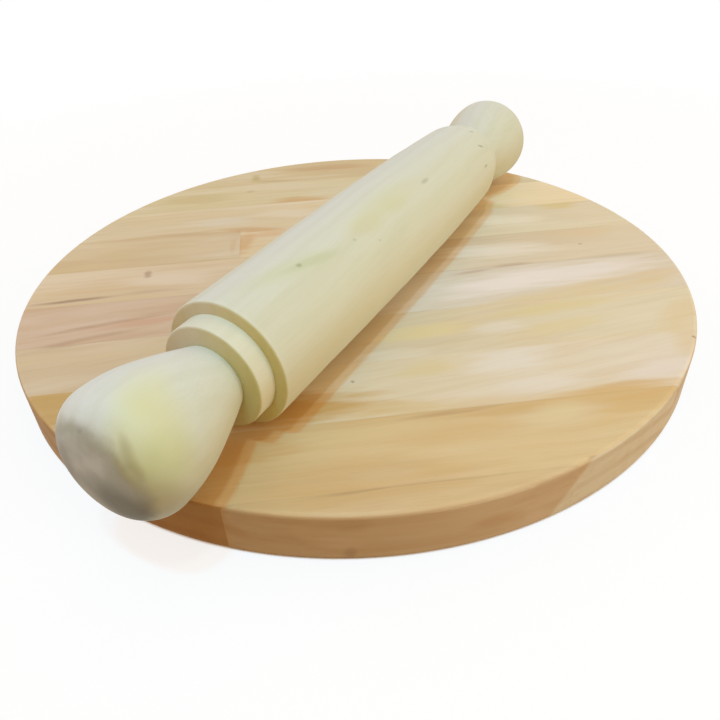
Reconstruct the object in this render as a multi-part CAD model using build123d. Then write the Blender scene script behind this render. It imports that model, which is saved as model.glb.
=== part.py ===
from build123d import *
import math
import os

# Board: a flat disc that stands on Z = 0, centred on the Z axis, with its staves along X
board_radius = 140.0
board_thickness = 19.0
edge_round = 1.6

# Staves: glued edge to edge in rows, from a thin one at the front rim, at -Y, to the back rim
front_row_width = 10.0
equal_rows = 9

# End joints: three rows are made of two blocks, which meet in fingers that lie flat in the board
finger_length = 8.0
finger_pitch = 4.8

# Pin barrel: turned about its own X axis from X = 0 at its near end, a little fuller in the middle
barrel_length = 183.0
barrel_near_radius = 22.0
barrel_crown_radius = 22.3
barrel_far_radius = 20.0
barrel_near_edge_round = 0.9
barrel_far_edge_round = 2.5

# Pin collars: one short step down at each end of the barrel
collar_length = 7.2
collar_radius = 17.9
collar_edge_round = 0.8

# Pin handles: pear-shaped, from a narrow neck at the collar to a blunt rounded tip
handle_length = 45.5
neck_radius = 11.6
bulge_radius = 20.4
shoulder_radius = 11.0
tip_dome_radius = 60.0

# Pin's place on the board: its direction from X, and where the barrel's near end lies
pin_angle = 54.4
barrel_near_end_along = -104.8
pin_across = -16.2
pin_clearance = 0.3

# Cuts pass this far beyond what they cut
overrun = 2.0

# The end joints' places along X, as shares of the board's radius, by row from the front
end_joint_shares = {3: -0.5, 5: -0.14, 7: -0.364}

# The barrel's outline, as shares of its length and of its fall from the crown to the far end
crown_station_share = 0.45
far_slope_station_share = 0.78
far_slope_fall_share = 0.3

# The handle's flank, as shares of its length up to the shoulder and of its rise from neck to bulge
flank_station_shares = [0.32, 0.64]
flank_rise_shares = [0.44, 0.84]
neck_rise_per_length = 0.38


def board_blank():
    """The whole disc, with its two rim edges rounded."""
    disc = Cylinder(board_radius, board_thickness, align=(Align.CENTER, Align.CENTER, Align.MIN))
    levels = disc.edges().group_by(Axis.Z)
    return fillet(levels[0] + levels[-1], edge_round)


def row_edges():
    """The places across the board where its rows begin and end, front to back."""
    row_width = (2 * board_radius - front_row_width) / equal_rows
    first_line = front_row_width - board_radius
    glue_lines = [first_line + line * row_width for line in range(equal_rows)]
    return [-board_radius - overrun, *glue_lines, board_radius + overrun]


def finger_seam(joint_x):
    """The line of an end joint seen from the front, from below the board to above it.

    The fingers lie flat, one above the other, so both faces of the board show a straight seam.
    """
    count = max(1, round(board_thickness / finger_pitch))
    pitch = board_thickness / count
    points = [(joint_x, -overrun)]
    for finger in range(count):
        points.append((joint_x, finger * pitch))
        points.append((joint_x + finger_length, finger * pitch + pitch / 2))
    points.append((joint_x, board_thickness))
    points.append((joint_x, board_thickness + overrun))
    return points


def straight_end(x):
    """A plain upright line beyond the rim, where a row needs no joint."""
    return [(x, -overrun), (x, board_thickness + overrun)]


def block(blank, left_line, right_line, front_y, back_y):
    """The part of the disc between two lines along X and two edges across Y."""
    outline = Polyline(left_line + right_line[::-1], close=True)
    face = Plane.XZ.offset(-back_y) * make_face(outline)
    return (blank & extrude(face, amount=back_y - front_y)).solid()


def stave_blocks():
    """All blocks of the board by name, one or two for each row."""
    blank = board_blank()
    edges = row_edges()
    left_end = straight_end(edges[0])
    right_end = straight_end(edges[-1])
    blocks = {}
    for row, (front_y, back_y) in enumerate(zip(edges, edges[1:]), start=1):
        name = f"stave_{row:02d}"
        if row in end_joint_shares:
            seam = finger_seam(end_joint_shares[row] * board_radius)
            blocks[name + "_left"] = block(blank, left_end, seam, front_y, back_y)
            blocks[name + "_right"] = block(blank, seam, right_end, front_y, back_y)
        else:
            blocks[name] = block(blank, left_end, right_end, front_y, back_y)
    return blocks


def turned(outline):
    """A solid of revolution about X from an outline in the XY plane that closes along the axis."""
    return revolve(make_face(outline), axis=Axis.X)


def ring(solid, station, radius):
    """The round edge of a turned solid that lies nearest to a station and radius."""
    rounds = solid.edges().filter_by(GeomType.CIRCLE)
    return min(rounds, key=lambda e: abs(e.arc_center.X - station) + abs(e.radius - radius))


def barrel():
    """The long working part, nearly parallel, that eases down towards its far end."""
    crown = (crown_station_share * barrel_length, barrel_crown_radius)
    fall = barrel_crown_radius - barrel_far_radius
    slope = (far_slope_station_share * barrel_length, barrel_crown_radius - far_slope_fall_share * fall)
    side = Spline((0, barrel_near_radius), crown, slope, (barrel_length, barrel_far_radius))
    ends = Polyline((barrel_length, barrel_far_radius), (barrel_length, 0), (0, 0), (0, barrel_near_radius))
    solid = turned(side + ends)
    solid = fillet(ring(solid, 0, barrel_near_radius), barrel_near_edge_round)
    return fillet(ring(solid, barrel_length, barrel_far_radius), barrel_far_edge_round)


def collar():
    """The step from X = 0 outwards, with its outer edge eased."""
    outline = Polyline(
        (0, 0), (0, collar_radius), (collar_length, collar_radius), (collar_length, 0), close=True
    )
    solid = turned(outline)
    return fillet(ring(solid, collar_length, collar_radius), collar_edge_round)


def handle():
    """The pear-shaped grip from X = 0 outwards: flank, shoulder arc and low dome, all tangent."""
    # The shoulder arc's centre lies inside the dome's circle, so the two meet along one radius.
    shoulder_centre_y = bulge_radius - shoulder_radius
    between_centres = tip_dome_radius - shoulder_radius
    meeting_angle = math.asin(shoulder_centre_y / between_centres)
    dome_centre_x = handle_length - tip_dome_radius
    shoulder_x = dome_centre_x + between_centres * math.cos(meeting_angle)
    meeting = (
        dome_centre_x + tip_dome_radius * math.cos(meeting_angle),
        tip_dome_radius * math.sin(meeting_angle),
    )
    rise = bulge_radius - neck_radius
    flank_points = [
        (station * shoulder_x, neck_radius + share * rise)
        for station, share in zip(flank_station_shares, flank_rise_shares)
    ]
    flank = Spline(
        (0, neck_radius),
        *flank_points,
        (shoulder_x, bulge_radius),
        tangents=[(1, neck_rise_per_length), (1, 0)],
    )
    shoulder = RadiusArc((shoulder_x, bulge_radius), meeting, shoulder_radius)
    dome = RadiusArc(meeting, (handle_length, 0), tip_dome_radius)
    axis_line = Polyline((handle_length, 0), (0, 0), (0, neck_radius))
    return turned(flank + shoulder + dome + axis_line)


def rolling_pin():
    """The whole pin about its own axis: barrel, with a collar and a handle at each end."""
    far_end = Pos(barrel_length, 0, 0)
    near_end = Rot(0, 0, 180)
    beyond_collar = Pos(collar_length, 0, 0)
    pin = barrel()
    for end in (near_end, far_end):
        pin += end * collar()
        pin += end * beyond_collar * handle()
    return pin.solid()


def placed_pin():
    """The pin as it lies across the board, just clear of it at its fullest place."""
    axis_height = board_thickness + pin_clearance + barrel_crown_radius
    lie = Pos(0, 0, axis_height) * Rot(0, 0, pin_angle)
    return lie * Pos(barrel_near_end_along, pin_across, 0) * rolling_pin()


os.makedirs("parts", exist_ok=True)
pieces = stave_blocks()
pieces["rolling_pin"] = placed_pin()
for node, solid in pieces.items():
    export_step(solid, f"parts/{node}.step")
    print(node, round(solid.volume), solid.bounding_box().min, solid.bounding_box().max)
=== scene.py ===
from collections import namedtuple
import math

import bpy
import numpy as np
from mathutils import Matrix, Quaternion, Vector


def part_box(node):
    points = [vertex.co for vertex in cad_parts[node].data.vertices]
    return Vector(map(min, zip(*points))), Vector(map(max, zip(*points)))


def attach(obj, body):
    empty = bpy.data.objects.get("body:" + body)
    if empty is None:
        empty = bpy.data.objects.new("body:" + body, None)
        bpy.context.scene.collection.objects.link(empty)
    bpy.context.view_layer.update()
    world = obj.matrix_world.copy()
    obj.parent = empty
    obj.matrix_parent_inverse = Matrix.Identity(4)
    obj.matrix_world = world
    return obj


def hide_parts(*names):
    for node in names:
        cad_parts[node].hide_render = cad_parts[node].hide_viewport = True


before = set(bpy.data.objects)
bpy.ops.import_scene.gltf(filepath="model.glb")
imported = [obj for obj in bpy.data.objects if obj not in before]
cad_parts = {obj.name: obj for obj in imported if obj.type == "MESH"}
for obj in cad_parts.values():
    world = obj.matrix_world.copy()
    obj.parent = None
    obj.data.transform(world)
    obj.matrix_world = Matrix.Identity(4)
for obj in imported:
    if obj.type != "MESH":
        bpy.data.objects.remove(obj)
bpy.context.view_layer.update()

# One millimetre in the scene's metres
MM = 0.001

# The board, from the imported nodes
board_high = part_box("stave_06")[1]
board_radius = board_high.x / MM
board_thickness = board_high.z / MM
edge_round = 1.6

# The pin's own frame: X along its axis from the barrel's near end
pin_low, pin_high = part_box("rolling_pin")
pin_angle = math.radians(54.4)
pin_axis_height = (pin_low.z + pin_high.z) / 2 / MM
barrel_near_end_along = -104.8
pin_across = -16.2

# The pin's profile, in millimetres
barrel_length = 183.0
crown_station_share = 0.45
far_slope_station_share = 0.78
far_slope_fall_share = 0.3
barrel_near_radius = 22.0
barrel_crown_radius = 22.3
barrel_far_radius = 20.0
barrel_near_edge_round = 0.9
barrel_far_edge_round = 2.5
collar_length = 7.2
collar_radius = 17.9
collar_edge_round = 0.8
handle_length = 45.5
neck_radius = 11.6
bulge_radius = 20.4
shoulder_radius = 11.0
tip_dome_radius = 60.0
neck_rise_per_length = 0.38

# How finely the pin is meshed
station_step = 0.9
round_steps = 6
steps_around = 160
sharp_edge_angle = 40.0

# What the lathe and the hand left on the pin: slow waves along it and a trace of ovalness
wave_heights = (0.05, 0.03)
wave_lengths = (41.0, 17.0)
oval_height = 0.04

# The camera, where the photograph was taken from
camera_place = (-22.08, -257.32, 159.13)
camera_aim = (-5.07, -68.28, 19.0)
camera_roll = -0.0477
focal_length = 32.81
sensor_width = 36.0


def linear(hex_colour, alpha=1.0):
    """An sRGB hex colour as linear red, green, blue and alpha."""
    channels = [int(hex_colour[i : i + 2], 16) / 255 for i in (1, 3, 5)]
    curve = [c / 12.92 if c <= 0.04045 else ((c + 0.055) / 1.055) ** 2.4 for c in channels]
    return (*curve, alpha)


def add(tree, kind, links=None, out=0, **settings):
    """Adds a node with its settings, fills its inputs with values or sockets, and returns an output."""
    node = tree.nodes.new(kind)
    for name, value in settings.items():
        setattr(node, name, value)
    for socket, value in (links or {}).items():
        if isinstance(value, bpy.types.NodeSocket):
            tree.links.new(value, node.inputs[socket])
        else:
            node.inputs[socket].default_value = value
    return node.outputs[out]


def new_material(name):
    """An empty node material with its tree and its shader."""
    material = bpy.data.materials.new(name)
    material.use_nodes = True
    tree = material.node_tree
    return material, tree, tree.nodes["Principled BSDF"]


def maths(tree, operation, first, second=0.0):
    """One sum on two numbers, as the operation names it."""
    return add(tree, "ShaderNodeMath", {0: first, 1: second}, operation=operation)


def over(tree, factor, below, above, mode="MIX"):
    """The colour `below`, with `above` laid over it by a factor."""
    links = {0: factor, 6: below, 7: above}
    return add(tree, "ShaderNodeMix", links, out=2, data_type="RGBA", blend_type=mode)


def ramp(tree, value, start, end, low=0.0, high=1.0):
    """Eases from `low` to `high` as the value goes from `start` to `end`."""
    links = {"Value": value, "From Min": start, "From Max": end, "To Min": low, "To Max": high}
    return add(tree, "ShaderNodeMapRange", links, interpolation_type="SMOOTHSTEP")


def even_grey(tree, value):
    """A grey as bright as the value."""
    return add(tree, "ShaderNodeCombineXYZ", {0: value, 1: value, 2: value})


def tinted(tree, colour, part, strength, tint):
    """The colour, darkened by a tint where a part of the wood shows, up to a strength."""
    return over(tree, maths(tree, "MULTIPLY", part, strength), colour, linear(tint), "MULTIPLY")


def framed(tree, vector, place=(0, 0, 0), turn=(0, 0, 0), size=(1, 1, 1)):
    """Coordinates as seen from a frame with its own place, turn and size."""
    links = {"Vector": vector, "Location": place, "Rotation": turn, "Scale": size}
    return add(tree, "ShaderNodeMapping", links, vector_type="TEXTURE")


# How many finer layers of noise lie over the first
soft_detail = 1.0
plain_detail = 2.0
fine_detail = 3.0


def noise(tree, vector, size, detail=plain_detail, out=0):
    """Smooth noise with features of a size in millimetres along each axis, from 0 to 1 about 0.5."""
    stretched = framed(tree, vector, size=size)
    return add(tree, "ShaderNodeTexNoise", {"Vector": stretched, "Scale": 1.0, "Detail": detail}, out=out)


# Wood: how its parts measure, in millimetres, along, across and up. The fibre and the pores are drawn
# coarser than real ones, so that they show.
wander_size = (70.0, 26.0, 26.0)
wander_reach = 7.0
broad_size = (75.0, 10.0, 10.0)
fibre_size = (22.0, 0.55, 0.55)
streak_size = (60.0, 2.6, 2.6)
pore_size = (5.5, 0.28, 0.28)
fibre_relief = 0.015

# The noise at which each part starts to show and at which it shows in full
figure_shows = (0.35, 1.0)
streaks_show = (0.42, 0.72)
pores_show = (0.66, 0.78)
fibre_shows = (0.25, 0.75)
rough_fibre_shows = (0.2, 0.8)

# A ring wave of scale 1 has one ring in this many units; then how its rings wander
ring_at_scale_1 = 0.314
ring_wander = {"Distortion": 1.3, "Detail": 2.0, "Detail Scale": 0.6}

# Each plank lies this far from the next in the noise, along, across and up
plank_step = (311.0, 97.0, 53.0)

# A mark is at full strength inside this share of its size
mark_full_share = 0.25


def wood_body(tree, mm, plank, tilt, dip, pith, ring_width):
    """The parts of a piece of wood: bent coordinates, figure, broad tone, streaks, fibre and pores.

    The figure is rings about a pith line outside the piece, so it shows as bands along the grain on
    a face and as arcs on an end. The coordinates wander slowly first, which bends the bands.
    """
    plank_place = tuple(plank * step for step in plank_step)
    moved = framed(tree, mm, place=plank_place)
    wander = noise(tree, moved, wander_size, out=1)
    shift = add(tree, "ShaderNodeVectorMath", {0: wander, 1: (0.5, 0.5, 0.5)}, operation="SUBTRACT")
    shift = add(tree, "ShaderNodeVectorMath", {0: shift, 1: (wander_reach,) * 3}, operation="MULTIPLY")
    bent = add(tree, "ShaderNodeVectorMath", {0: mm, 1: shift}, operation="ADD")
    grain = framed(tree, bent, place=pith, turn=(0, dip, tilt))
    along = framed(tree, bent, place=plank_place, turn=(0, 0, tilt))
    rings = {"Vector": grain, "Scale": ring_at_scale_1 / ring_width, **ring_wander}
    wave = add(tree, "ShaderNodeTexWave", rings, wave_type="RINGS", rings_direction="X", wave_profile="SIN")
    figure = ramp(tree, wave, *figure_shows)
    broad = noise(tree, along, broad_size)
    streaks = ramp(tree, noise(tree, along, streak_size, fine_detail), *streaks_show)
    fibre = noise(tree, along, fibre_size, fine_detail)
    pores = ramp(tree, noise(tree, along, pore_size, soft_detail), *pores_show)
    return bent, figure, broad, streaks, fibre, pores


def mark(tree, colour, bent, start, end, half_width, tone, strength, depth, breaks=None, ragged=None):
    """A soft streak, line, patch or spot between two places.

    Its strength falls off from its middle line as the distance does in a frame that is as long,
    wide and deep as the mark. The wood's streaks can break it up, or make its edge ragged.
    """
    a, b = Vector(start), Vector(end)
    middle = (a + b) / 2
    length = (b - a).length / 2 + half_width
    turn = (b - a).to_track_quat("X", "Z").to_euler() if length > half_width else (0, 0, 0)
    inside = framed(tree, bent, place=middle, turn=turn, size=(length, half_width, depth))
    reach = add(tree, "ShaderNodeVectorMath", {0: inside}, out=1, operation="LENGTH")
    if ragged is not None:
        reach = maths(tree, "ADD", reach, ragged)
    amount = ramp(tree, reach, 1.0, mark_full_share, 0.0, strength)
    if breaks is not None:
        amount = maths(tree, "MULTIPLY", amount, breaks)
    return over(tree, amount, colour, linear(tone))


def surfaced(tree, shader, colour, fibre, height, roughness, gloss):
    """Gives the shader its colour, a roughness that varies with the fibre, its gloss and its relief."""
    tree.links.new(colour, shader.inputs["Base Color"])
    tree.links.new(ramp(tree, fibre, *rough_fibre_shows, *roughness), shader.inputs["Roughness"])
    shader.inputs["Specular IOR Level"].default_value = gloss
    bump = {"Height": height, "Distance": fibre_relief * MM, "Strength": 1.0}
    tree.links.new(add(tree, "ShaderNodeBump", bump), shader.inputs["Normal"])


# The dark lines of glue between the rows, by the line's place across the board: how plain each is
glue_tone = "#8a6544"
glue_strengths = {-130: 0.16, -100: 0.1, -40: 0.05, -10: 0.14, 20: 0.12, 50: 0.1, 80: 0.06, 110: 0.08}

# How far from its middle a glue line ends and is full; the patches in which it shows, and its least
glue_line_edges = (0.612, 0.136)
glue_patch_size = (24.0, 40.0, 40.0)
glue_patches_show = (0.38, 0.6)
glue_least = 0.25

# The end joint of two blocks in a row
end_joint_edges = (1.53, 0.204)
end_joint_tone = "#a37646"
end_joint_strength = 0.12

# Tints that darken wood: its figure, streaks, pores and end grain
figure_tint = "#ecdabf"
streak_tint = "#ecdac2"
pore_tint = "#b08a5c"
end_tint = "#f0e4d0"
pale_tone = "#e8dccb"
warm_tone = "#dcc190"
rim_figure_tint = "#dcc09a"

# How strongly the streaks and pores show, how much the fibre darkens and lightens, and its finish
streak_strength = 0.22
pore_strength = 0.1
pore_depth_share = 0.8
fibre_shade = (0.975, 1.02)
board_roughness = (0.58, 0.7)
board_gloss = 0.32
grain_dip = 1.2

# The tone changes from left to right inside this share of the radius, partly as painted shade that darkens
# the left of most rows; where the mottling shows
drift_share = 0.9
pale_shows = (0.48, 0.34)
warm_shows = (0.54, 0.68)

# Each block's looks: tone at the board's left and right, the plank it was sawn from, tilt of the grain in
# degrees, place of the pith across and up, ring width, strength of figure and of mottling, and the rim's
# tone at the left and the right
Look = namedtuple("Look", "left right plank tilt pith ring_width figure mottle rim_left rim_right")
blocks = {
    "stave_01": ("#d2b27e", "#d4b98c", 1, 0.5, (-118, -30), 9.0, 0.3, 0.1, "#c3a072", "#dccdae"),
    # stave_02's dark left rim is partly the wood and partly painted shadow of the pin's near handle
    "stave_02": ("#d7b783", "#d9c092", 2, 1.0, (-128, -34), 8.0, 0.35, 0.12, "#af8448", "#dccdae"),
    "stave_03_left": ("#cbaa72", "#cbaa72", 3, 2.0, (-60, -28), 9.0, 0.35, 0.15, "#c29c68", "#c29c68"),
    "stave_03_right": ("#dbc59a", "#e0d1b9", 4, 9.5, (-60, -60), 14.0, 0.12, 0.22, "#d8c9ad", "#d8c9ad"),
    "stave_04": ("#d2bb9a", "#decfb0", 4, 9.5, (-60, -60), 14.0, 0.12, 0.22, "#cdb08a", "#dac7a4"),
    "stave_05_left": ("#d1b59b", "#d1b59b", 5, 6.5, (-45, -30), 9.0, 0.3, 0.15, "#cdb094", "#cdb094"),
    "stave_05_right": ("#e6dccf", "#d9c9b1", 4, 9.5, (-60, -60), 14.0, 0.12, 0.2, "#d8c4a2", "#d8c4a2"),
    "stave_06": ("#dac3a3", "#dccaad", 6, 1.0, (15, -40), 11.0, 0.25, 0.18, "#d4bd98", "#dcc9a6"),
    "stave_07_left": ("#d4bd99", "#dfceb7", 7, 1.5, (25, -34), 9.0, 0.3, 0.2, "#cbb086", "#cbb086"),
    "stave_07_right": ("#e2cda8", "#e0d1b3", 8, 0.5, (42, -40), 11.0, 0.25, 0.18, "#d2bb92", "#d2bb92"),
    "stave_08": ("#d9c7a7", "#edd7b0", 9, 1.0, (60, -36), 12.0, 0.25, 0.2, "#d6c09c", "#dcc6a0"),
    "stave_09": ("#d3c199", "#e1d3b0", 10, 0.5, (90, -32), 10.0, 0.3, 0.22, "#c9ad80", "#ceb286"),
    "stave_10": ("#d2bf98", "#d2b88e", 11, -1.5, (128, -34), 9.0, 0.3, 0.2, "#cdb288", "#cdb288"),
}

# Marks on the face, in millimetres: start, end, half width, tone, strength
line_at_the_middle = [
    ((40.0, -13.8), (62.0, -11.0), 2.3, "#b8937a", 0.5),
    ((58.0, -11.0), (80.0, -9.2), 2.0, "#b9957c", 0.45),
    ((96.0, -9.6), (139.0, -9.6), 2.5, "#bfac90", 0.4),
]
line_at_the_left = [
    ((-134.0, -43.6), (-80.0, -31.8), 2.2, "#b08c70", 0.45),
]
line_behind = [
    ((-120.0, 49.0), (-56.0, 51.8), 2.4, "#c09c74", 0.5),
    ((-68.0, 52.2), (-26.0, 47.0), 3.4, "#c69865", 0.55),
]
line_in_front = [
    ((-6.0, -102.0), (50.0, -101.0), 4.6, "#d2b483", 0.6),
    ((42.0, -101.6), (112.0, -98.0), 5.6, "#d3b079", 0.95),
    ((-2.0, -102.6), (46.0, -99.8), 1.6, "#b68f64", 0.5),
    ((62.0, -97.8), (102.0, -95.4), 2.0, "#cda56a", 0.5),
]
marks = {
    "stave_01": [
        ((-28.7, -131.0), (2.5, -129.4), 1.0, "#8a6540", 0.3),
        ((2.5, -129.4), (37.7, -129.4), 0.9, "#9a754a", 0.35),
    ],
    "stave_02": line_in_front + [
        ((16.0, -104.0), (62.0, -102.4), 2.2, "#cba46c", 0.45),
        ((-4.0, -112.0), (44.0, -110.0), 5.5, "#d0ac76", 0.45),
        ((46.0, -108.0), (64.0, -104.0), 6.5, "#dcc698", 0.5),
        ((64.0, -111.0), (94.0, -103.0), 6.5, "#d2aa6c", 0.55),
        ((30.0, -120.0), (70.0, -116.0), 4.0, "#d9bb8a", 0.4),
        ((57.5, -127.6), (60.0, -127.2), 1.6, "#a98353", 0.4),
        # The broad brown patch by the pin's near end is partly darker wood and partly painted shadow of the
        # pin
        ((-70.0, -112.0), (-32.0, -110.0), 12.0, "#cc9f60", 0.85),
    ],
    "stave_03_left": [
        ((-128.0, -76.0), (-100.0, -74.0), 8.0, "#c0975a", 0.5),
    ],
    "stave_03_right": line_in_front + [
        # The broad brown patch by the pin's near end is partly darker wood and partly painted shadow of the
        # pin
        ((-76.0, -90.0), (2.0, -94.0), 12.5, "#c99c5a", 0.95),
        ((8.0, -100.5), (62.0, -99.0), 7.0, "#dac29c", 0.75),
        ((-14.0, -98.5), (26.0, -96.5), 7.0, "#d5b986", 0.6),
        ((8.0, -79.0), (28.0, -76.0), 6.0, "#dac388", 0.55),
        ((38.0, -79.0), (60.0, -75.0), 10.0, "#e6dcd0", 0.6),
        ((40.0, -93.0), (66.0, -91.0), 7.0, "#e4dacd", 0.5),
        ((84.0, -92.0), (112.0, -87.0), 7.0, "#e5d7cb", 0.6),
        ((112.0, -79.0), (122.0, -68.0), 8.0, "#dabc88", 0.4),
        ((-8.6, -80.6), (-8.4, -80.6), 0.9, "#8f7350", 0.6),
        ((117.6, -74.6), (118.4, -74.6), 1.0, "#8f7350", 0.6),
    ],
    "stave_04": line_at_the_left + [
        ((2.0, -56.4), (40.0, -53.4), 7.0, "#e2cd98", 0.7),
        ((46.0, -49.8), (104.0, -43.0), 6.0, "#dcc792", 0.7),
        ((96.0, -43.6), (137.0, -36.0), 5.0, "#dcc598", 0.5),
        ((56.0, -63.4), (90.0, -57.0), 6.0, "#ddc998", 0.6),
        ((42.0, -58.6), (57.0, -57.4), 6.5, "#e4d9c8", 0.5),
        ((-4.0, -69.0), (22.0, -70.0), 6.5, "#e4d7c0", 0.5),
        ((112.0, -68.0), (130.0, -50.0), 10.0, "#dabc88", 0.42),
        ((60.0, -42.0), (82.0, -40.0), 3.0, "#e2c6a4", 0.4),
        ((-116.0, -46.0), (-76.0, -42.0), 4.0, "#d9c2a6", 0.4),
    ],
    "stave_05_left": line_at_the_left + [
        ((-132.0, -33.0), (-75.0, -22.6), 2.4, "#ac8568", 0.5),
        ((-106.0, -31.0), (-70.0, -26.4), 4.6, "#cda284", 0.7),
        ((-124.0, -17.0), (-70.0, -14.0), 6.0, "#d6bca2", 0.45),
    ],
    "stave_05_right": line_at_the_middle + [
        ((34.0, -44.0), (138.0, -33.0), 8.0, "#dcc596", 0.65),
        ((60.0, -36.4), (138.0, -23.6), 3.0, "#d9be90", 0.5),
        ((110.0, -33.0), (139.0, -27.0), 6.0, "#d8bc88", 0.45),
        ((26.0, -29.0), (128.0, -17.0), 12.0, "#eadfd5", 0.6),
        # A pinker pale streak beside the pin: partly the wood, partly painted light where the pin blocks
        # the room's warm light
        ((34.0, -28.0), (84.0, -22.0), 10.0, "#f0e2d9", 0.55),
        ((74.0, -22.0), (134.0, -16.0), 8.0, "#e9ddd4", 0.4),
    ],
    "stave_06": line_at_the_middle + [
        ((-142.0, -7.4), (-100.0, -5.3), 2.1, "#987761", 0.68),
        ((-107.0, -5.3), (-74.0, -4.0), 2.2, "#bb9d84", 0.42),
        ((-98.0, 8.0), (-60.0, 5.0), 10.0, "#e2cfb9", 0.6),
        ((-91.2, 10.6), (-90.4, 14.0), 2.6, "#ab8a70", 0.7),
        ((105.3, 3.1), (106.1, 3.1), 1.0, "#a88c68", 0.55),
        ((96.0, 15.0), (128.0, 13.0), 6.0, "#dbc29a", 0.5),
        ((40.0, 7.0), (92.0, 3.0), 10.0, "#eaddcb", 0.75),
    ],
    "stave_07_left": line_behind + [
        ((-96.0, 20.6), (-52.0, 21.0), 1.5, "#b8956c", 0.35),
        ((-120.0, 34.0), (-72.0, 41.0), 9.0, "#cab084", 0.45),
        ((-54.0, 24.0), (-53.0, 44.0), 2.2, "#c99c70", 0.28),
    ],
    "stave_07_right": line_behind + [
        ((-50.0, 26.0), (-47.0, 46.0), 6.0, "#cf9f6a", 0.6),
        ((-46.0, 44.0), (-28.0, 44.0), 6.0, "#d4a878", 0.5),
        ((62.0, 36.0), (98.0, 33.0), 10.0, "#ecdec5", 0.75),
        ((102.0, 47.6), (121.0, 47.4), 7.0, "#d9be80", 0.7),
        ((90.0, 19.0), (101.0, 18.0), 4.0, "#d8c28c", 0.5),
    ],
    "stave_08": line_behind + [
        ((-76.0, 62.0), (-42.0, 60.0), 8.0, "#dacdb8", 0.6),
        ((-40.0, 67.0), (-12.0, 65.0), 9.0, "#e2d2b8", 0.7),
        ((74.0, 53.0), (86.0, 52.0), 5.0, "#d0bc80", 0.5),
        ((78.0, 66.0), (104.0, 63.0), 8.0, "#efd9ad", 0.6),
    ],
    "stave_09": [
        ((-34.0, 82.6), (-4.0, 82.0), 7.0, "#cc9c60", 0.65),
        ((-92.0, 96.0), (-58.0, 93.0), 9.0, "#c2ac78", 0.5),
        ((-46.4, 99.7), (-45.2, 99.7), 3.0, "#b49a6c", 0.4),
        ((-60.0, 104.0), (-10.0, 100.0), 6.0, "#dccab0", 0.5),
    ],
    "stave_10": [
        ((-52.7, 115.2), (-18.5, 111.4), 2.0, "#b8996a", 0.4),
        ((-30.5, 129.3), (28.0, 126.0), 6.5, "#c1966a", 0.5),
        ((-44.0, 117.5), (-43.0, 122.5), 4.0, "#aa9450", 0.5),
    ],
}
mark_depth = 14.0

# The wood's streaks break up the narrow long marks and make the edges of the broad ones ragged
broad_mark = 2.5
long_mark_share = 4
break_size = (16.0, 1.8, 1.8)
breaks_show = (0.3, 0.56)
breaks_least = 0.6
ragged_size = (26.0, 3.2, 3.2)
ragged_shows = (0.3, 0.7)
ragged_reach = 0.16

# Marks on the rim, by place along the board and height: start, end, half width, tone, strength
rim_marks = {
    "stave_01": [
        ((-31.0, 14.5), (-27.5, 8.0), 3.0, "#cba476", 0.6),
        ((-27.0, 8.0), (-14.0, 7.0), 4.2, "#cdab82", 0.65),
        ((-24.0, 15.0), (-8.0, 15.0), 2.2, "#b08758", 0.5),
        ((-18.6, 3.6), (-16.0, 3.0), 1.6, "#8a6540", 0.4),
        ((-52.0, 13.0), (-46.0, 6.0), 4.0, "#b3824a", 0.35),
        ((4.0, 16.0), (48.0, 15.5), 3.0, "#d6bc94", 0.6),
        ((16.0, 8.0), (34.0, 8.0), 2.4, "#bb9060", 0.5),
        ((36.0, 5.0), (42.0, 3.0), 3.0, "#d8b896", 0.5),
    ],
}
rim_mark_depth = 4.0

# The rim's tone starts and is full this far in from the rim, in shares of the edge's round
rim_tone_starts = 0.36
rim_tone_full = 0.09

# The rim's figure in front and at the sides, its streaks, and its end grain from this share of the radius
rim_figure = (0.16, 0.45)
rim_streak_strength = 0.3
end_grain_starts = 0.2
end_tint_strength = 0.5

# On the right the rim's brown heartwood ends along a slant: its place at the top, and how far it leans in
rim_turn_top = 57.0
rim_turn_lean = 13.5
rim_turn_half_width = 1.4

# Up to that slant the brown grows paler from left to right, partly as painted light on the rim's right side
rim_heart_and_light_tone = "#cfb28a"
rim_heart_and_light_reach = 45.0


def face_tone(tree, look, x, broad):
    """The block's tone from left to right, partly its own and partly painted shade that darkens the left of
    most rows, with pale and warm mottling.
    """
    drift = ramp(tree, x, -drift_share * board_radius, drift_share * board_radius)
    colour = over(tree, drift, linear(look.left), linear(look.right))
    colour = over(tree, ramp(tree, broad, *pale_shows, 0.0, look.mottle), colour, linear(pale_tone))
    return over(tree, ramp(tree, broad, *warm_shows, 0.0, look.mottle), colour, linear(warm_tone))


def face_marks(tree, name, colour, bent, breaks):
    """The streaks, patches and spots that the block has on its face."""
    uneven = noise(tree, bent, ragged_size, fine_detail)
    ragged = ramp(tree, uneven, *ragged_shows, -ragged_reach, ragged_reach)
    for start, end, half_width, tone, strength in marks.get(name, ()):
        start, end = (*start, board_thickness), (*end, board_thickness)
        if half_width > broad_mark:
            how = {"ragged": ragged}
        elif half_width * long_mark_share < (Vector(end) - Vector(start)).length:
            how = {"breaks": breaks}
        else:
            how = {}
        colour = mark(tree, colour, bent, start, end, half_width, tone, strength, mark_depth, **how)
    return colour


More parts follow.
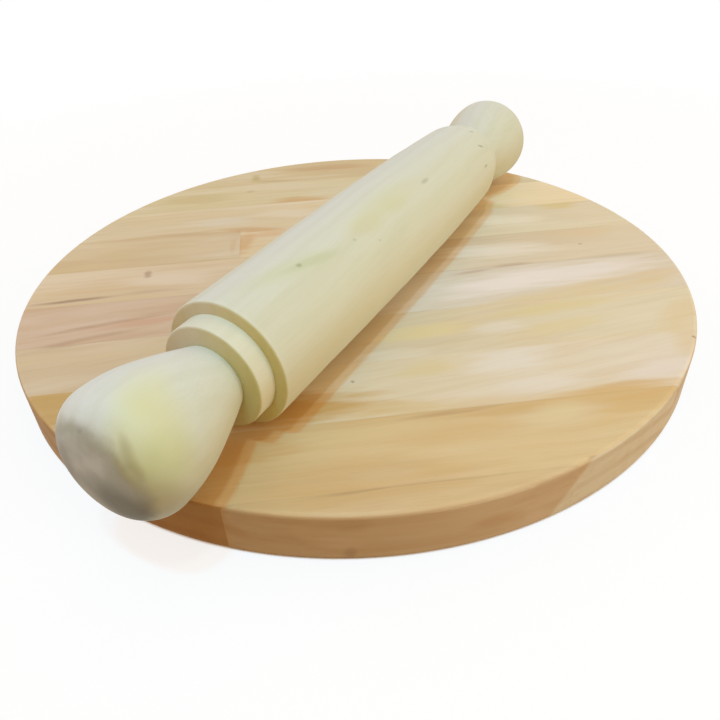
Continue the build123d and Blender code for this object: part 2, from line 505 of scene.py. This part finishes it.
def glue_lines(tree, name, colour, mm, x, y):
    """The glue lines along the block's two sides and, on the right-hand block, its end joint."""
    low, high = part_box(name)
    patches = noise(tree, mm, glue_patch_size, fine_detail)
    patchy = ramp(tree, patches, *glue_patches_show, glue_least, 1.0)
    for edge in (low.y / MM, high.y / MM):
        strength = glue_strengths.get(round(edge), 0.0)
        if strength:
            gap = maths(tree, "ABSOLUTE", maths(tree, "SUBTRACT", y, edge))
            line = ramp(tree, gap, *glue_line_edges, 0.0, strength)
            colour = over(tree, maths(tree, "MULTIPLY", line, patchy), colour, linear(glue_tone))
    if name.endswith("_right"):
        gap = maths(tree, "ABSOLUTE", maths(tree, "SUBTRACT", x, low.x / MM))
        line = ramp(tree, gap, *end_joint_edges, 0.0, end_joint_strength)
        colour = over(tree, line, colour, linear(end_joint_tone))
    return colour


def rim_tone(tree, look, x, z):
    """The rim's tone: brown heartwood that pales to the right, partly as painted light there, and pale
    sapwood beyond a slant.
    """
    below_top = maths(tree, "SUBTRACT", 1.0, maths(tree, "DIVIDE", z, board_thickness))
    lean = maths(tree, "MULTIPLY", below_top, rim_turn_lean)
    past = maths(tree, "SUBTRACT", maths(tree, "ADD", x, lean), rim_turn_top)
    paler = ramp(tree, x, -rim_heart_and_light_reach, rim_heart_and_light_reach)
    heart = over(tree, paler, linear(look.rim_left), linear(rim_heart_and_light_tone))
    turned = ramp(tree, past, -rim_turn_half_width, rim_turn_half_width)
    return over(tree, turned, heart, linear(look.rim_right))


def on_wall(along, height):
    """The point of the rim's front wall at a place along the board and a height."""
    return along, -math.sqrt(board_radius**2 - along**2), height


def wall_marks(tree, name, colour, bent, breaks):
    """The marks that the block has on the rim."""
    for start, end, half_width, tone, strength in rim_marks.get(name, ()):
        start, end = on_wall(*start), on_wall(*end)
        colour = mark(tree, colour, bent, start, end, half_width, tone, strength, rim_mark_depth, breaks)
    return colour


def sanded_wood(name):
    """Sanded, unsealed pale softwood: matt, with slow warm bands, fine fibre and a few dark streaks."""
    look = Look(*blocks[name])
    material, tree, shader = new_material(name + " wood")
    place = tree.nodes.new("ShaderNodeTexCoord").outputs["Object"]
    mm = framed(tree, place, size=(MM, MM, MM))
    turn = math.radians(look.tilt), math.radians(grain_dip)
    body = wood_body(tree, mm, look.plank, *turn, (0, *look.pith), look.ring_width)
    bent, figure, broad, streaks, fibre, pores = body
    split = add(tree, "ShaderNodeSeparateXYZ", {0: mm})
    x, y, z = split, split.node.outputs[1], split.node.outputs[2]

    # The face: tone, figure, streaks, fibre and pores, then its marks and glue lines
    shade = even_grey(tree, ramp(tree, fibre, *fibre_shows, *fibre_shade))
    colour = face_tone(tree, look, x, broad)
    colour = tinted(tree, colour, figure, look.figure, figure_tint)
    colour = tinted(tree, colour, streaks, streak_strength, streak_tint)
    colour = over(tree, 1.0, colour, shade, "MULTIPLY")
    colour = tinted(tree, colour, pores, pore_strength, pore_tint)
    breaks = ramp(tree, noise(tree, bent, break_size), *breaks_show, breaks_least, 1.0)
    colour = face_marks(tree, name, colour, bent, breaks)
    colour = glue_lines(tree, name, colour, mm, x, y)

    # The rim: sawn round, so long grain in front, end grain at the sides
    flat_place = add(tree, "ShaderNodeCombineXYZ", {0: x, 1: y})
    from_axis = add(tree, "ShaderNodeVectorMath", {0: flat_place}, out=1, operation="LENGTH")
    rim_starts = board_radius - rim_tone_starts * edge_round
    on_rim = ramp(tree, from_axis, rim_starts, board_radius - rim_tone_full * edge_round)
    sideways = maths(tree, "ABSOLUTE", x)
    end_grain = ramp(tree, sideways, end_grain_starts * board_radius, board_radius)
    sawn = rim_tone(tree, look, x, z)
    sawn = tinted(tree, sawn, figure, ramp(tree, end_grain, 0.0, 1.0, *rim_figure), rim_figure_tint)
    sawn = tinted(tree, sawn, streaks, rim_streak_strength, streak_tint)
    sawn = over(tree, 1.0, sawn, shade, "MULTIPLY")
    sawn = wall_marks(tree, name, sawn, bent, breaks)
    colour = over(tree, on_rim, colour, sawn)
    end_wall = maths(tree, "MULTIPLY", on_rim, end_grain)
    colour = tinted(tree, colour, end_wall, end_tint_strength, end_tint)

    height = maths(tree, "SUBTRACT", fibre, maths(tree, "MULTIPLY", pores, pore_depth_share))
    surfaced(tree, shader, colour, fibre, height, board_roughness, board_gloss)
    return material


# Marks on the pin, in its own frame: start, end, half width, tone, strength
pin_marks = [
    ((4, 0, 22), (50, -13, 18), 5.5, "#c8cba4", 0.45),
    ((20, -5.6, 21.3), (52, -12.5, 18.3), 2.2, "#b8bb90", 0.4),
    ((30.3, -7.7, 20.9), (31.3, -7.9, 20.8), 1.3, "#84865e", 0.55),
    ((57.7, -12.7, 18.2), (58.4, -12.7, 18.2), 0.9, "#a8a880", 0.45),
    ((68.3, -17.0, 14.4), (68.7, -17.0, 14.4), 0.8, "#a8a880", 0.45),
    ((60.0, -11.2, 19.3), (80.0, -12.6, 18.4), 5.0, "#c8c28c", 0.36),
    ((82.0, -12.0, 18.8), (97.0, -12.8, 18.2), 4.2, "#c9c48e", 0.34),
    ((58.0, -9.0, 20.4), (114.0, -11.0, 19.4), 7.0, "#cfcb9c", 0.35),
    ((112.0, -12.2, 18.5), (119.0, -12.0, 18.5), 1.1, "#a29c78", 0.5),
    ((177.4, -7.6, 18.5), (181.0, -8.8, 17.8), 0.9, "#8e8a72", 0.75),
    ((171.6, -14.5, 14.6), (176.0, -16.2, 12.4), 0.8, "#8e8a72", 0.75),
    ((169.0, -20.0, 5.8), (172.4, -19.9, 5.9), 0.9, "#999276", 0.7),
    ((-28.0, -4.0, 19.2), (-44.0, -8.0, 17.0), 8.0, "#d8dab2", 0.45),
    ((-37.0, -10.5, 15.6), (-47.5, -12.5, 8.5), 12.5, "#d1cf98", 0.64),
    ((-42.0, -18.0, 6.0), (-49.0, -14.0, 2.0), 11.0, "#bfc083", 0.65),
    # Darker on the knob's underside towards the tip, partly the wood and partly painted shade
    ((-49.0, -13.0, 1.0), (-43.0, -16.0, -9.0), 9.0, "#a89f78", 0.6),
    ((-47.4, -9.6, 14.2), (-49.6, -15.0, 4.0), 2.4, "#94864f", 0.5),
]

# The spots on the grey tip: a dark dot, and the brown that deepens towards its foot, partly as painted
# shade
tip_marks = [
    ((-50.9, 1.0, 14.2), (-51.3, 1.4, 13.0), 1.5, "#7e766e", 0.6),
    ((-49.4, -10.0, 10.5), (-50.6, -13.0, 3.5), 3.6, "#a39c70", 0.75),
    # The tip's dark foot is partly end grain and partly painted shade
    ((-52.0, -2.0, -5.5), (-49.0, -12.0, -10.0), 11.5, "#67634f", 0.92),
    ((-50.5, 10.0, 4.0), (-50.5, 11.0, -4.0), 7.0, "#8d8576", 0.7),
]

# How the pin was cut from its block: grain's tilt and dip in degrees, plank, pith, ring width
pin_grain_tilt = 1.5
pin_grain_dip = -1.0
pin_plank = 17
pin_pith = (0, 34, 6)
pin_ring_width = 6.5

# The barrel is yellower on its front-right side, by a mottled edge across it: partly the wood's tone,
# partly painted warm light bounced onto that side
side_tones = ("#d6d5cb", "#cfcfb6")
side_shows = (15.0, -15.0)
side_mottle = 10.0
left_tone = "#cec5a3"
left_shows = (4.0, 19.0)
left_strength = 0.9

# The near handle's tone, greyer than the barrel's, partly painted cool light, and the collars', paler;
# where the near end changes over
handle_tones = ("#d9dad7", "#cbd2c1")
handle_shows = (-5.0, -12.0)
handle_strength = 0.75
collar_tone = "#dfdbc0"
collar_shows = (2.0, -0.5)
collar_strength = 0.5

# The pin's figure, streaks, fibre and pores are fainter than the board's
pin_figure_tint = "#dfd6a8"
pin_figure_strength = 0.07
pin_streak_tint = "#dcd4ae"
pin_streak_strength = 0.07
pin_fibre_shade = (0.98, 1.015)
pin_pore_strength = 0.06
pin_roughness = (0.48, 0.6)
pin_gloss = 0.35

# The steps' cut faces, partly end grain and partly painted shade: how far from them their tint ends and is
# full, and its two sides
step_face_edges = (0.5, 0.12)
step_face_grain_and_shade_tints = ("#efe4d4", "#f0e4a0")
step_face_grain_and_shade_strength = 0.9

# The tips' end grain: where its brown edge and its grey show along the pin, and how the edge slants
tip_brown_shows = (46.6, 50.4)
tip_grey_shows = (48.8, 52.0)
tip_slant_across = 0.09
tip_slant_up = -0.1
tip_ragged_size = (7.0, 5.0, 5.0)
tip_ragged_reach = 3.0
tip_cloud_size = (12.0, 9.0, 9.0)
tip_clouds_show = (0.36, 0.64)
tip_tones = ("#c4c4bd", "#b0b1a9", "#9e9a84")
tip_strength = 0.92


def pin_frame(tree):
    """Millimetres in the pin's own frame: X along its axis from the barrel's near end."""
    along, across = barrel_near_end_along, pin_across
    turn_x, turn_y = math.cos(pin_angle), math.sin(pin_angle)
    start = (along * turn_x - across * turn_y, along * turn_y + across * turn_x, pin_axis_height)
    place = tree.nodes.new("ShaderNodeTexCoord").outputs["Object"]
    origin = tuple(c * MM for c in start)
    return framed(tree, place, place=origin, turn=(0, 0, pin_angle), size=(MM, MM, MM))


def pin_side_tone(tree, side, x, y):
    """The barrel's tone by side, its yellower front-right side partly painted warm light, then the collar's
    and the near handle's over it, the near handle's grey partly painted cool light.
    """
    colour = over(tree, side, linear(side_tones[0]), linear(side_tones[1]))
    colour = over(tree, ramp(tree, y, *left_shows, 0.0, left_strength), colour, linear(left_tone))
    collar = ramp(tree, x, *collar_shows, 0.0, collar_strength)
    colour = over(tree, collar, colour, linear(collar_tone))
    handle = over(tree, side, linear(handle_tones[0]), linear(handle_tones[1]))
    return over(tree, ramp(tree, x, *handle_shows, 0.0, handle_strength), colour, handle)


def step_faces(tree, colour, side, beyond):
    """The cut faces of the barrel's and the collars' ends, darkened where the end grain soaks up light and
    by painted shade on faces turned from the lamps.
    """
    tint = over(tree, side, linear(step_face_grain_and_shade_tints[0]), linear(step_face_grain_and_shade_tints[1]))
    for face in (0.0, collar_length):
        gap = maths(tree, "ABSOLUTE", maths(tree, "SUBTRACT", beyond, face))
        facing = ramp(tree, gap, *step_face_edges)
        colour = over(tree, maths(tree, "MULTIPLY", facing, step_face_grain_and_shade_strength), colour, tint, "MULTIPLY")
    return colour


def tip_grain(tree, colour, mm, bent, y, z, beyond):
    """The tips' end grain over the colour: brown at its ragged, slanting edge, cloudy grey inside."""
    slant = maths(tree, "MULTIPLY", y, tip_slant_across)
    slant = maths(tree, "ADD", slant, maths(tree, "MULTIPLY", z, tip_slant_up))
    ragged = maths(tree, "MULTIPLY", noise(tree, mm, tip_ragged_size, fine_detail), tip_ragged_reach)
    ragged = maths(tree, "SUBTRACT", ragged, tip_ragged_reach / 2)
    reach = maths(tree, "ADD", maths(tree, "ADD", beyond, slant), ragged)
    cloud = ramp(tree, noise(tree, mm, tip_cloud_size, fine_detail), *tip_clouds_show)
    grey = over(tree, cloud, linear(tip_tones[0]), linear(tip_tones[1]))
    grey = over(tree, ramp(tree, reach, *tip_grey_shows), linear(tip_tones[2]), grey)
    for start, end, half_width, tone, strength in tip_marks:
        grey = mark(tree, grey, bent, start, end, half_width, tone, strength, half_width)
    tip = ramp(tree, reach, *tip_brown_shows)
    return over(tree, maths(tree, "MULTIPLY", tip, tip_strength), colour, grey)


def turned_wood():
    """Turned and sanded cream wood: a faint green-grey streak, grey end grain at the two tips."""
    material, tree, shader = new_material("pin wood")
    mm = pin_frame(tree)
    turn = math.radians(pin_grain_tilt), math.radians(pin_grain_dip)
    body = wood_body(tree, mm, pin_plank, *turn, pin_pith, pin_ring_width)
    bent, figure, broad, streaks, fibre, pores = body
    split = add(tree, "ShaderNodeSeparateXYZ", {0: mm})
    x, y, z = split, split.node.outputs[1], split.node.outputs[2]

    mottled = maths(tree, "ADD", y, maths(tree, "MULTIPLY", broad, side_mottle))
    side = ramp(tree, mottled, *side_shows)
    shade = even_grey(tree, ramp(tree, fibre, *fibre_shows, *pin_fibre_shade))
    colour = pin_side_tone(tree, side, x, y)
    colour = tinted(tree, colour, figure, pin_figure_strength, pin_figure_tint)
    colour = tinted(tree, colour, streaks, pin_streak_strength, pin_streak_tint)
    colour = over(tree, 1.0, colour, shade, "MULTIPLY")
    colour = tinted(tree, colour, pores, pin_pore_strength, pore_tint)
    for start, end, half_width, tone, strength in pin_marks:
        colour = mark(tree, colour, bent, start, end, half_width, tone, strength, half_width)

    # How far a place lies beyond the barrel's nearer face
    past_near = maths(tree, "MULTIPLY", x, -1.0)
    past_far = maths(tree, "SUBTRACT", x, barrel_length)
    beyond = maths(tree, "MAXIMUM", past_near, past_far)
    colour = step_faces(tree, colour, side, beyond)
    colour = tip_grain(tree, colour, mm, bent, y, z, beyond)
    surfaced(tree, shader, colour, fibre, fibre, pin_roughness, pin_gloss)
    return material


def arc(centre, radius, start, end, steps):
    """Points round a centre, from one angle to another in radians, as stations and radii.

    Each is the centre plus the radius times the angle's cosine along the pin and its sine outwards.
    """
    angles = np.linspace(start, end, steps + 1)
    return list(zip(centre[0] + radius * np.cos(angles), centre[1] + radius * np.sin(angles)))


def even(start, end, shape):
    """Points from one station to another, no further apart than the station step, on a radius curve."""
    count = max(1, math.ceil(abs(end - start) / station_step))
    stations = np.linspace(start, end, count + 1)
    return [(s, float(shape(s))) for s in stations]


def handle_points():
    """The pear-shaped grip's outline from the collar to the middle of its tip.

    The flank is a cubic from the neck's slope to a level top, the shoulder an arc tangent to it, and
    the tip a low dome whose circle the shoulder's circle touches from inside.
    """
    shoulder_centre_radius = bulge_radius - shoulder_radius
    between_centres = tip_dome_radius - shoulder_radius
    meeting = math.asin(shoulder_centre_radius / between_centres)
    dome_centre = handle_length - tip_dome_radius
    shoulder_station = dome_centre + between_centres * math.cos(meeting)

    def flank(station):
        t = station / shoulder_station
        rise = bulge_radius - neck_radius
        slope = neck_rise_per_length * shoulder_station
        return neck_radius + slope * (t - 2 * t**2 + t**3) + rise * (3 * t**2 - 2 * t**3)

    steps = math.ceil(shoulder_radius * (math.pi / 2 - meeting) / station_step)
    shoulder = arc((shoulder_station, shoulder_centre_radius), shoulder_radius, math.pi / 2, meeting, steps)
    steps = math.ceil(tip_dome_radius * meeting / station_step)
    dome = arc((dome_centre, 0.0), tip_dome_radius, meeting, 0.0, steps)
    return even(0.0, shoulder_station, flank) + shoulder[1:] + dome[1:]


def end_points(barrel_radius, barrel_round):
    """One end's outline from the barrel's rounded edge to the tip, outwards from the barrel's face."""
    edge = arc((-barrel_round, barrel_radius - barrel_round), barrel_round, math.pi / 2, 0, round_steps)
    collar_side = even(0.0, collar_length - collar_edge_round, lambda s: collar_radius)
    centre = (collar_length - collar_edge_round, collar_radius - collar_edge_round)
    collar_edge = arc(centre, collar_edge_round, math.pi / 2, 0, round_steps)
    grip = [(collar_length + s, r) for s, r in handle_points()]
    return edge + collar_side + collar_edge[1:] + grip


def pin_outline():
    """The whole pin's outline from tip to tip: stations along its axis and radii.

    The barrel's side is the cubic curve through its radii at four stations.
    """
    crown_station = crown_station_share * barrel_length
    slope_station = far_slope_station_share * barrel_length
    slope_radius = barrel_crown_radius - far_slope_fall_share * (barrel_crown_radius - barrel_far_radius)
    stations = (0.0, crown_station, slope_station, barrel_length)
    radii = (barrel_near_radius, barrel_crown_radius, slope_radius, barrel_far_radius)
    side = np.poly1d(np.polyfit(stations, radii, 3))
    near = [(-s, r) for s, r in end_points(barrel_near_radius, barrel_near_edge_round)][::-1]
    far = [(barrel_length + s, r) for s, r in end_points(barrel_far_radius, barrel_far_edge_round)]
    middle = even(barrel_near_edge_round, barrel_length - barrel_far_edge_round, side)[1:-1]
    return np.array(near + middle + far)


def turned_pin():
    """The pin as one closed turned mesh in the row frame.

    Each ring of points stands square to the axis, its radius the outline's, with slow waves along
    the pin and a trace of ovalness. One point closes each tip.
    """
    outline = pin_outline()
    stations, radii = outline[1:-1, 0], outline[1:-1, 1]
    angles = np.linspace(0, 2 * math.pi, steps_around, endpoint=False)
    waves = sum(h * np.sin(stations * 2 * math.pi / w) for h, w in zip(wave_heights, wave_lengths))
    oval = oval_height * np.cos(2 * angles)
    share = np.clip(radii / neck_radius, 0, 1)
    lathe_marks = waves[:, None] + oval[None, :] - oval_height - sum(wave_heights)
    r = radii[:, None] + share[:, None] * lathe_marks
    x = np.repeat(stations[:, None], steps_around, axis=1)
    points = np.stack([x, r * np.cos(angles), r * np.sin(angles)], axis=2).reshape(-1, 3)
    points = np.vstack([points, (outline[0, 0], 0, 0), (outline[-1, 0], 0, 0)])
    points += (barrel_near_end_along, pin_across, pin_axis_height)
    c, s = math.cos(pin_angle), math.sin(pin_angle)
    placed = points @ np.array([(c, s, 0), (-s, c, 0), (0, 0, 1)])

    # Four-cornered faces between neighbouring rings, and three-cornered ones round each tip
    here = np.arange(r.size).reshape(r.shape)
    beside = np.roll(here, -1, axis=1)
    walls = np.stack([here[1:], beside[1:], beside[:-1], here[:-1]], axis=2).reshape(-1, 4)
    near_tip = np.stack([here[0], beside[0], np.full(steps_around, r.size)], axis=1)
    far_tip = np.stack([beside[-1], here[-1], np.full(steps_around, r.size + 1)], axis=1)
    mesh = bpy.data.meshes.new("turned_pin")
    mesh.from_pydata((placed * MM).tolist(), [], walls.tolist() + near_tip.tolist() + far_tip.tolist())
    mesh.shade_smooth()
    mesh.set_sharp_from_angle(angle=math.radians(sharp_edge_angle))
    pin = bpy.data.objects.new("turned_pin", mesh)
    bpy.context.scene.collection.objects.link(pin)
    mesh.materials.append(turned_wood())
    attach(pin, "pin")
    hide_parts("rolling_pin")


# A floor that is white to the camera and a pale table to the light that bounces off it
floor_colour = "#93816a"
floor_half_width = 3.0
floor_near_glow = 0.78
floor_glow_starts = 0.22
floor_glow_full = 0.5

# The glow ends at the board's edge, in metres from the middle, so the gap under its rounded foot stays dark
floor_contact_dark = 0.139
floor_contact_clear = 0.1403


def shown_rays(tree):
    """1 for the rays by which the background is seen: straight, mirrored or through glass."""
    rays = tree.nodes.new("ShaderNodeLightPath").outputs
    mirrored = maths(tree, "MAXIMUM", rays["Is Glossy Ray"], rays["Is Transmission Ray"])
    return maths(tree, "MAXIMUM", rays["Is Camera Ray"], mirrored)


def studio_floor():
    """A flat square floor under the board."""
    w = floor_half_width
    mesh = bpy.data.meshes.new("floor")
    mesh.from_pydata([(-w, -w, 0), (w, -w, 0), (w, w, 0), (-w, w, 0)], [], [(0, 1, 2, 3)])
    floor = bpy.data.objects.new("floor", mesh)
    bpy.context.scene.collection.objects.link(floor)
    # White matt paint: the shadow shows near the board, and further out it runs into the background.
    material, tree, shader = new_material("painted floor")
    tree.nodes.remove(shader)
    rays = shown_rays(tree)
    place = tree.nodes.new("ShaderNodeTexCoord").outputs["Object"]
    away = add(tree, "ShaderNodeVectorMath", {0: place}, out=1, operation="LENGTH")
    glow = ramp(tree, away, floor_glow_starts, floor_glow_full, floor_near_glow, 1.0)
    glow = maths(tree, "MULTIPLY", glow, ramp(tree, away, floor_contact_dark, floor_contact_clear))
    lit = maths(tree, "SUBTRACT", 1.0, glow)
    seen = add(tree, "ShaderNodeBsdfDiffuse", {"Color": even_grey(tree, lit)})
    glow = add(tree, "ShaderNodeEmission", {"Color": (1, 1, 1, 1), "Strength": glow})
    seen = add(tree, "ShaderNodeAddShader", {0: seen, 1: glow})
    bounced = add(tree, "ShaderNodeBsdfDiffuse", {"Color": linear(floor_colour)})
    mixed = add(tree, "ShaderNodeMixShader", {0: rays, 1: bounced, 2: seen})
    tree.links.new(mixed, tree.nodes["Material Output"].inputs["Surface"])
    mesh.materials.append(material)


# The warm even light of the room
room_light = (1.0, 0.645, 0.33, 1)
room_light_strength = 0.79


def studio_world():
    """White to the camera, the room's even light to everything else."""
    world = bpy.data.worlds.new("studio")
    bpy.context.scene.world = world
    world.use_nodes = True
    tree = world.node_tree
    tree.nodes.clear()
    rays = shown_rays(tree)
    light = add(tree, "ShaderNodeBackground", {"Color": room_light, "Strength": room_light_strength})
    white = add(tree, "ShaderNodeBackground", {"Color": (1, 1, 1, 1), "Strength": 1.0})
    mixed = add(tree, "ShaderNodeMixShader", {0: rays, 1: light, 2: white})
    output = tree.nodes.new("ShaderNodeOutputWorld")
    tree.links.new(mixed, output.inputs["Surface"])


# Lamps aimed at the board's middle: place and size in metres, watts and colour. Two small cool ones
# overhead leave the warm room light in the shadows, and two broad ones stand at the sides.
lamps = {
    "overhead": ((-0.193, -0.506, 1.93), 0.14, 15.5, (0.08, 0.57, 1.0)),
    "overhead second": ((0.064, -0.69, 1.9), 0.14, 8.0, (0.47, 0.8, 1.0)),
    "window": ((-1.3, 0.45, 0.75), 0.9, 2.5, (0.78, 0.9, 1.0)),
    "room": ((1.2, -0.55, 0.35), 0.6, 5.2, (1.0, 0.98, 0.86)),
}


def studio_lamps():
    """Square soft lamps, each turned from its place to the board's middle."""
    for name, (place, size, power, colour) in lamps.items():
        lamp = bpy.data.lights.new(name, "AREA")
        lamp.shape = "SQUARE"
        lamp.size = size
        lamp.energy = power
        lamp.color = colour
        holder = bpy.data.objects.new(name, lamp)
        holder.location = place
        to_middle = -Vector(place)
        holder.rotation_euler = to_middle.to_track_quat("-Z", "Y").to_euler()
        bpy.context.scene.collection.objects.link(holder)


def set_camera():
    """The camera looks from its place to its aim, then rolls about its own axis."""
    data = bpy.data.cameras.new("camera")
    data.lens = focal_length
    data.sensor_width = sensor_width
    camera = bpy.data.objects.new("camera", data)
    place, aim = Vector(camera_place) * MM, Vector(camera_aim) * MM
    turn = (aim - place).to_track_quat("-Z", "Y") @ Quaternion((0, 0, 1), camera_roll)
    camera.location = place
    camera.rotation_mode = "QUATERNION"
    camera.rotation_quaternion = turn
    bpy.context.scene.collection.objects.link(camera)
    bpy.context.scene.camera = camera


for name in blocks:
    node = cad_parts[name]
    node.data.materials.clear()
    node.data.materials.append(sanded_wood(name))

turned_pin()
studio_floor()
studio_world()
studio_lamps()
set_camera()

scene = bpy.context.scene
scene.view_settings.view_transform = "Standard"
